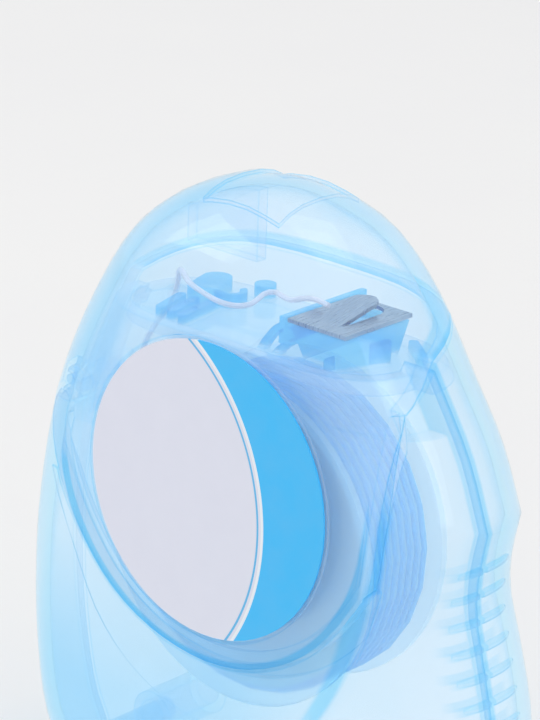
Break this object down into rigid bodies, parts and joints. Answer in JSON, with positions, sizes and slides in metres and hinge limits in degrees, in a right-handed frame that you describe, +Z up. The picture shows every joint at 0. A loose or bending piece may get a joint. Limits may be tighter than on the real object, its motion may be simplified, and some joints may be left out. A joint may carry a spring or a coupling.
{
  "type": "dental floss dispenser",
  "caption": "Pocket dental floss dispenser: translucent case with a clear swing-open hood and round label, a floss bobbin on an axle, a guide deck and a steel cutter.",
  "frame": {"origin": "centre of the flat base", "axes": "+Z up through the hood, -Y out of the label, +X towards the gripping ribs"},
  "size_m": [0.0508, 0.0186, 0.0618],
  "materials": {
    "case": "translucent sky blue polypropylene, glossy",
    "hood": "clear pale blue polystyrene, glossy",
    "label": "satin printed film, two plain tones",
    "cutter": "bright rolled stainless strip",
    "bobbin": "milky translucent plastic",
    "floss": "waxed white multifilament"
  },
  "bodies": {
    "case": {"rear_shell": "case", "front_shell": "case", "floss_deck": "case", "cutter_plate": "cutter", "floss_strand": "floss"},
    "hood": {"flip_cap": "hood", "front_label": "label"},
    "bobbin": {"floss_spool": "bobbin", "floss_pack": "floss", "floss_winding": "floss"}
  },
  "joints": [
    {"name": "hood_hinge", "type": "hinge", "parent": "case", "child": "hood", "pos_m": [-0.0221, 0, 0.03919], "axis": [0, -1, 0], "range_deg": [0, 95]},
    {"name": "bobbin_spin", "type": "hinge", "parent": "case", "child": "bobbin", "pos_m": [-0.00071, 0, 0.03023], "axis": [0, 1, 0], "continuous": true}
  ]
}
